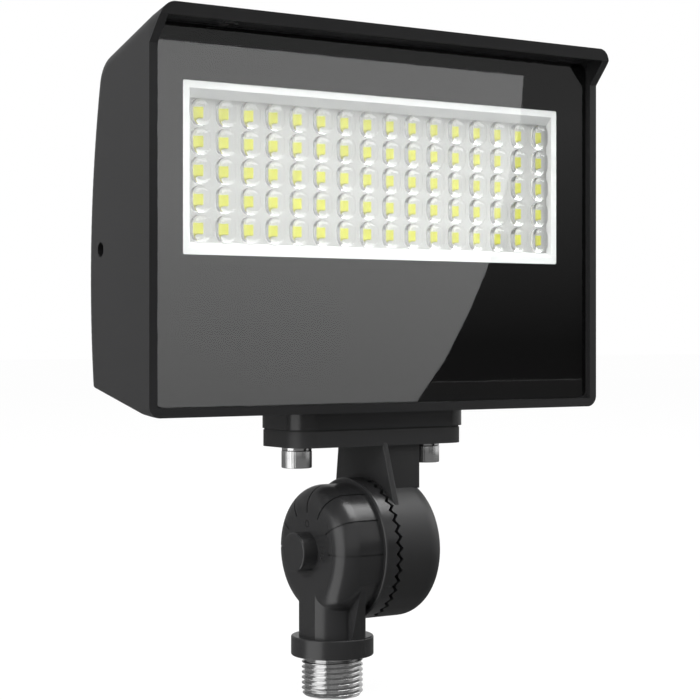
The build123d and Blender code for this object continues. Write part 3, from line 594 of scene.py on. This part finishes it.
def makeFloor(settings):
    mesh = bpy.data.meshes.new("floor")
    half = settings["half"]
    corners = [(-half, -half, 0), (half, -half, 0), (half, half, 0), (-half, half, 0)]
    mesh.from_pydata(corners, [], [(0, 1, 2, 3)])
    floor = bpy.data.objects.new("floor", mesh)
    bpy.context.collection.objects.link(floor)
    material, nodes, links, shader = newMaterial("floorPaper")
    shader.inputs["Base Color"].default_value = (*[settings["paper"]] * 3, 1)
    shader.inputs["Roughness"].default_value = settings["roughness"]
    shader.inputs["Specular IOR Level"].default_value = settings["gloss"]
    glow = nodes.new("ShaderNodeEmission")
    glow.inputs["Strength"].default_value = settings["white"]
    mix = nodes.new("ShaderNodeMixShader")
    share = nodes.new("ShaderNodeMath")
    share.operation = "MULTIPLY"
    share.inputs[1].default_value = settings["share"]
    links.new(whenSeen(nodes, links), share.inputs[0])
    links.new(share.outputs[0], mix.inputs["Fac"])
    links.new(shader.outputs["BSDF"], mix.inputs[1])
    links.new(glow.outputs["Emission"], mix.inputs[2])
    links.new(mix.outputs["Shader"], nodes["Material Output"].inputs["Surface"])
    mesh.materials.append(material)


def makeWorld(settings):
    world = bpy.data.worlds.new("sky")
    bpy.context.scene.world = world
    world.use_nodes = True
    nodes, links = world.node_tree.nodes, world.node_tree.links
    background = nodes["Background"]
    background.inputs["Color"].default_value = (1, 1, 1, 1)
    level = nodes.new("ShaderNodeMapRange")
    level.inputs["To Min"].default_value = settings["light"]
    level.inputs["To Max"].default_value = settings["seen"]
    links.new(whenSeen(nodes, links), level.inputs["Value"])
    links.new(level.outputs["Result"], background.inputs["Strength"])


# each lamp lights matt surfaces; what gloss shows comes from the cards
lampSettings = {
    "leftLamp": {"place": (-1.5, -0.1, 0.6), "size": (0.9, 0.9), "power": 27.0},
    "frontLamp": {"place": (-0.45, -1.25, 1.9), "size": (0.8, 0.8), "power": 9.0},
    "topLamp": {"place": (0.5, -0.45, 1.5), "size": (1.2, 0.9), "power": 18.0},
}
lampTarget = (0, 0, 0.12)


def makeLamp(name, settings):
    data = bpy.data.lights.new(name, "AREA")
    data.shape = "RECTANGLE"
    data.size, data.size_y = settings["size"]
    data.energy = settings["power"]
    lamp = bpy.data.objects.new(name, data)
    lamp.location = settings["place"]
    toward = Vector(lampTarget) - Vector(settings["place"])
    lamp.rotation_euler = toward.to_track_quat("-Z", "Y").to_euler()
    lamp.visible_glossy = False
    lamp.visible_transmission = False
    bpy.context.collection.objects.link(lamp)


room = {"half": 3.4, "low": 0.002, "high": 3.0, "ground": 0.0004, "rightX": 1.5, "rightStart": -1.3}


def uprightCard(x, y, endX, endY):
    return (x, y, room["low"]), (endX, endY, room["low"]), (endX, endY, room["high"]), (x, y, room["high"])


def levelCard(z, left, front, right, back):
    return (left, front, z), (right, front, z), (right, back, z), (left, back, z)


# card strength runs from low to high between two heights; the room's walls show as dim greys in gloss
half, rightX = room["half"], room["rightX"]
cardSettings = {
    "glassCard": {"points": ((0.45, -1.5, 0.484), (1.288, -1.5, 0.4825), (1.2817, -1.5, 0.414),
                             (1.252, -1.5, 0.310), (1.2282, -1.5, 0.223), (1.1946, -1.5, 0.158),
                             (1.1523, -1.5, 0.0908), (1.1047, -1.5, 0.0354), (1.07, -1.5, 0.004),
                             (0.45, -1.5, 0.004)),
                  "heights": (0.0, 0.3), "strengths": (2.15, 3.2), "onlyOn": ("front_glass",)},
    "leftCard": {"points": ((-1.67, 0.48, 0.01), (-1.505, -0.87, 0.01), (-1.505, -0.87, 1.25),
                            (-1.67, 0.48, 1.25)),
                 "heights": (0.0, 1.25), "strengths": (1.6, 1.6)},
    "leftFloorCard": {"points": ((-0.012, -0.007, 0.001), (-1.386, -0.8, 0.001), (-1.538, 0.441, 0.001),
                                 (-0.0135, 0.004, 0.001)),
                      "heights": (0.0, 1.0), "strengths": (1.6, 1.6)},
    "topCard": {"points": levelCard(1.5, 0.0, -0.9, 1.1, 0.05),
                "heights": (0.0, 1.5), "strengths": (6.0, 6.0)},
    "lensCard": {"points": ((-1.2, -1.9, 0.95), (2.9, -1.9, 0.95), (2.9, -0.9, 2.4), (-1.2, -0.9, 2.4)),
                 "heights": (0.0, 1.5), "strengths": (7.6, 7.6), "throughGlass": True, "inGloss": False},
    "rightCard": {"points": ((1.44, -0.75, 0.45), (1.44, 0.35, 0.45), (1.3, 0.35, 1.25), (1.3, -0.75, 1.25)),
                  "heights": (0.0, 1.25), "strengths": (2.5, 2.5)},
    "wallFront": {"points": uprightCard(-half, -half, half, -half),
                  "heights": (0.1, 0.7), "strengths": (0.08, 0.55), "throughGlass": True},
    "wallRight": {"points": uprightCard(rightX, room["rightStart"], rightX, half),
                  "heights": (0.0, 1.0), "strengths": (0.7, 0.4), "throughGlass": True},
    "wallBack": {"points": uprightCard(half, half, -half, half),
                 "heights": (0.0, 1.0), "strengths": (0.2, 0.3)},
    "wallLeft": {"points": uprightCard(-half, half, -half, -half),
                 "heights": (0.0, 1.0), "strengths": (0.2, 0.3), "throughGlass": True},
    "ceiling": {"points": levelCard(room["high"], -half, -half, half, half),
                "heights": (0.0, 3.0), "strengths": (0.3, 0.3), "throughGlass": True},
    "groundCard": {"points": levelCard(room["ground"], -half, -half, half, half),
                   "heights": (0.0, 1.0), "strengths": (0.18, 0.18), "throughGlass": True},
}


def makeCard(name, settings):
    source = bmesh.new()
    source.faces.new([source.verts.new(point) for point in settings["points"]])
    data = bpy.data.meshes.new(name)
    source.to_mesh(data)
    source.free()
    card = bpy.data.objects.new(name, data)
    bpy.context.collection.objects.link(card)
    material, nodes, links = newMaterial(name + "Glow")[:3]
    glow = nodes.new("ShaderNodeEmission")
    height = nodes.new("ShaderNodeSeparateXYZ")
    links.new(objectCoordinates(nodes), height.inputs["Vector"])
    level = nodes.new("ShaderNodeMapRange")
    level.inputs["From Min"].default_value, level.inputs["From Max"].default_value = settings["heights"]
    level.inputs["To Min"].default_value, level.inputs["To Max"].default_value = settings["strengths"]
    links.new(height.outputs["Z"], level.inputs["Value"])
    links.new(level.outputs["Result"], glow.inputs["Strength"])
    links.new(glow.outputs["Emission"], nodes["Material Output"].inputs["Surface"])
    data.materials.append(material)
    card.visible_camera = False
    card.visible_diffuse = False
    card.visible_glossy = settings.get("inGloss", True)
    card.visible_transmission = settings.get("throughGlass", False)
    card.visible_shadow = False
    return card


def lightOnly(card, names):  # the card shows in these pieces alone
    receivers = bpy.data.collections.new(card.name + "Receivers")
    for name in names:
        receivers.objects.link(bpy.data.objects[name])
    card.light_linking.receiver_collection = receivers


makeFloor(floorSettings)
makeWorld(worldSettings)
for name, values in lampSettings.items():
    makeLamp(name, values)
for name, values in cardSettings.items():
    card = makeCard(name, values)
    if "onlyOn" in values:
        lightOnly(card, values["onlyOn"])

view = bpy.context.scene.view_settings
view.view_transform = "Standard"
print("studio made")
